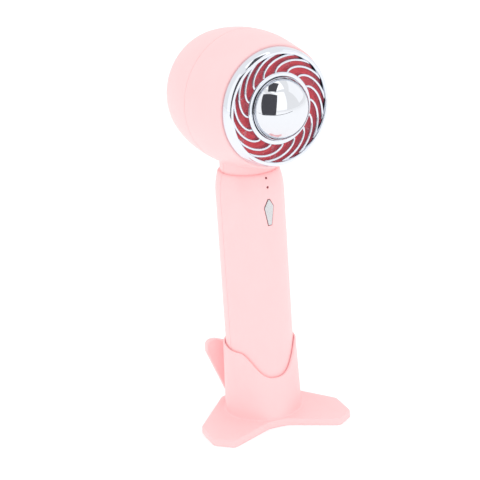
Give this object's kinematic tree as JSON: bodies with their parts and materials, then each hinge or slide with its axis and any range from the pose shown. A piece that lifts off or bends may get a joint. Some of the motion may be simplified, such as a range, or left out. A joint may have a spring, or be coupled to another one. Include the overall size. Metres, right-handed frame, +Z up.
{
  "type": "hand-held cooling fan with stand",
  "caption": "Hand-held rechargeable fan with a polished cold dome in a chrome swept grille, round handle, silver power button and a moulded stand that it lifts out of.",
  "frame": {"origin": "on the floor, on the axis of the stand's cup, which is also the handle's axis", "axes": "+Z up along the handle; the fan blows towards -Y; +X is to the right seen from the front"},
  "size_m": [0.0755, 0.0788, 0.2003],
  "materials": {
    "stand_plastic": "satin moulded plastic, pale pink",
    "housing_plastic": "satin moulded plastic, pale pink",
    "screw_steel": "zinc-plated steel",
    "battery_wrap": "shrink-wrapped cell",
    "nickel": "nickel strip",
    "foam": "closed-cell foam",
    "lead_insulation": "insulated lead",
    "circuit_board": "glass-epoxy board with solder mask",
    "switch_case": "moulded switch case",
    "switch_plunger": "moulded plunger",
    "led_package": "LED package",
    "light_pipe": "tinted light pipe",
    "button_silver": "silver-plated button",
    "port_metal": "stamped steel shell",
    "port_tongue": "moulded tongue with contacts",
    "grille_chrome": "bright plated plastic",
    "dome_chrome": "mirror-polished metal",
    "aluminium": "machined aluminium",
    "thermal_pad": "thermal pad",
    "ceramic": "white ceramic faces",
    "inner_plastic": "moulded inner plastic, pink",
    "impeller_plastic": "glossy red moulding",
    "rotor_steel": "drawn steel can",
    "magnet": "bonded ferrite ring",
    "shaft_steel": "ground steel shaft",
    "stator_steel": "laminated core",
    "copper": "enamelled copper wire",
    "bearing_bronze": "sintered bronze"
  },
  "bodies": {
    "stand_body": {"stand": "stand_plastic"},
    "fan_body": {"handle_front_shell": "housing_plastic", "handle_rear_shell": "housing_plastic", "handle_end_cap": "housing_plastic", "head_front_shell": "housing_plastic", "head_rear_shell": "housing_plastic", "housing_screws": "screw_steel", "bracket_screws": "screw_steel", "battery_cell": "battery_wrap", "battery_tabs": "nickel", "battery_foam_pads": "foam", "battery_leads": "lead_insulation", "main_board": "circuit_board", "charge_board": "circuit_board", "motor_board": "circuit_board", "switch_body": "switch_case", "led_chips": "led_package", "led_lenses": "light_pipe", "usb_shell": "port_metal", "usb_tongue": "port_tongue", "grille_bezel": "grille_chrome", "cold_dome": "dome_chrome", "cold_plate": "aluminium", "heat_sink": "aluminium", "thermal_pads": "thermal_pad", "peltier_module": "ceramic", "module_cup": "inner_plastic", "motor_bracket": "inner_plastic", "air_duct": "inner_plastic", "motor_stator": "stator_steel", "motor_windings": "copper", "shaft_bearings": "bearing_bronze"},
    "impeller_body": {"impeller": "impeller_plastic", "rotor_can": "rotor_steel", "magnet_ring": "magnet", "motor_shaft": "shaft_steel"},
    "button_body": {"power_button": "button_silver", "switch_plunger": "switch_plunger"}
  },
  "joints": [
    {"name": "fan_lift", "type": "slide", "parent": "stand_body", "child": "fan_body", "axis": [0, 0, 1], "range_m": [0, 0.06]},
    {"name": "impeller_spin", "type": "hinge", "parent": "fan_body", "child": "impeller_body", "pos_m": [0, 0, 0.1669], "axis": [0, -1, 0], "continuous": true},
    {"name": "button_press", "type": "slide", "parent": "fan_body", "child": "button_body", "axis": [0, 1, 0], "range_m": [0, 0.0004], "stiffness_N_per_m": 3000, "springref_m": -0.0001}
  ]
}
